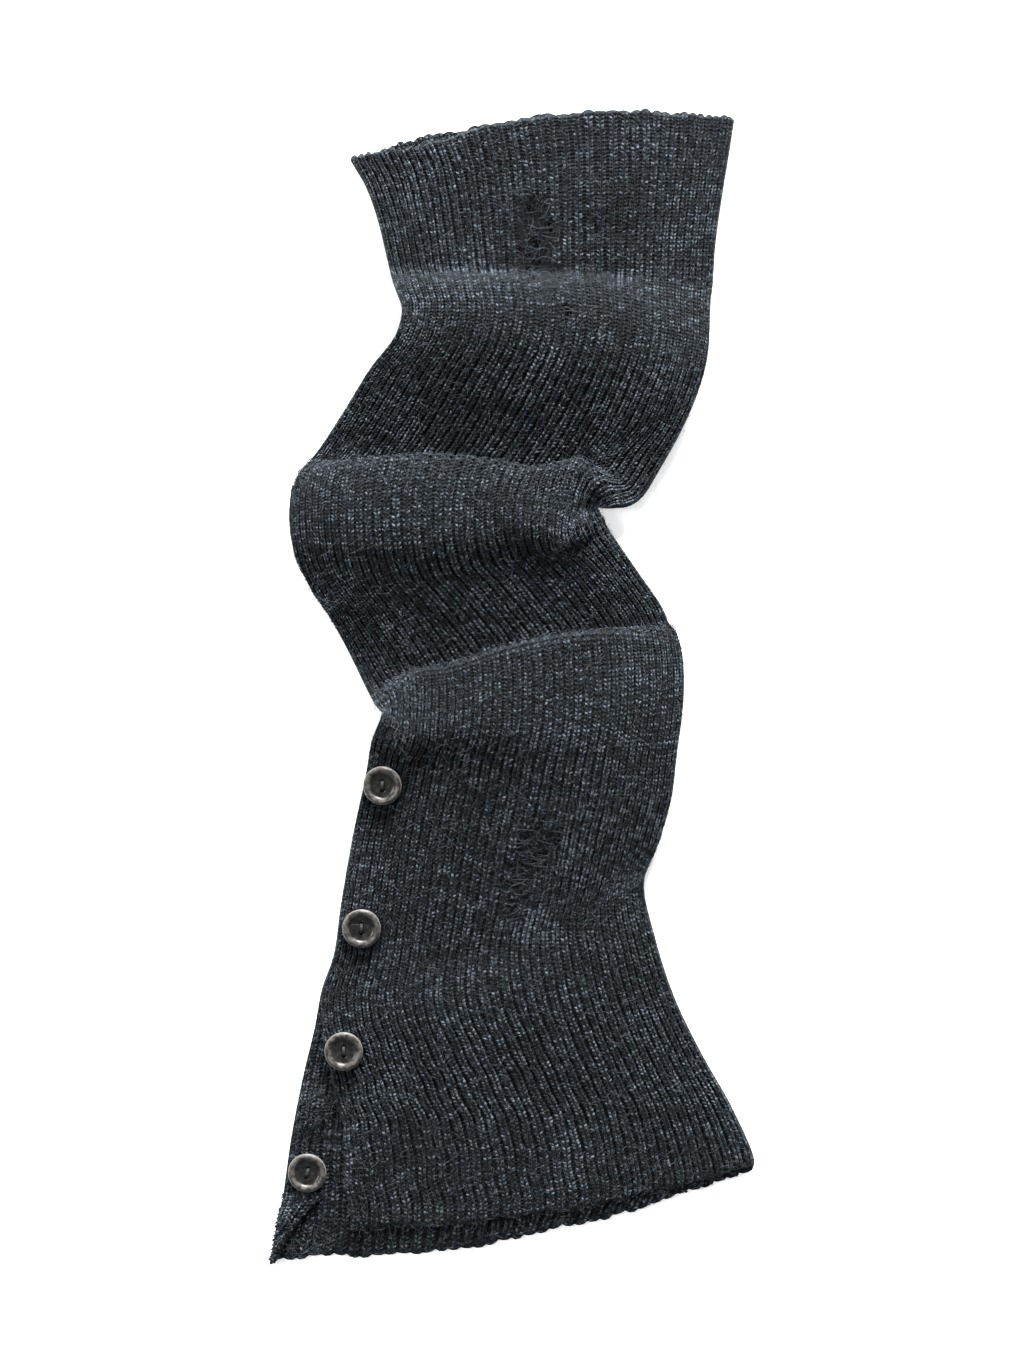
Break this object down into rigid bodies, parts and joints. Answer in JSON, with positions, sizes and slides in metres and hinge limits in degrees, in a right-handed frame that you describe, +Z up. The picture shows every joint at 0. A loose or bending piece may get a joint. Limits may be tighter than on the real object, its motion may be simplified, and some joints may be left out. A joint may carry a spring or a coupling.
{
  "type": "leg warmer",
  "caption": "Ribbed knitted leg warmer with rips and a side slit closed by round buttons, laid out flat in waves.",
  "frame": {"origin": "on the surface the leg warmer lies on, under the middle of its outline", "axes": "+Z up from the surface, +Y toward the knee opening, +X to the right of the laid-out piece"},
  "size_m": [0.204, 0.4846, 0.0206],
  "materials": {
    "ribbed_knit": "heathered charcoal rib knit in brushed wool, with a fine pale fuzz",
    "horn_button": "smoky grey-beige horn, dished and glossy, with a paler worn rim",
    "sewing_thread": "dark sewing thread through the holes of the buttons"
  },
  "bodies": {
    "root": {"front": "ribbed_knit", "back": "ribbed_knit", "turned_edge": "ribbed_knit", "button_1": "horn_button", "button_2": "horn_button", "button_3": "horn_button", "button_4": "horn_button"}
  },
  "joints": []
}
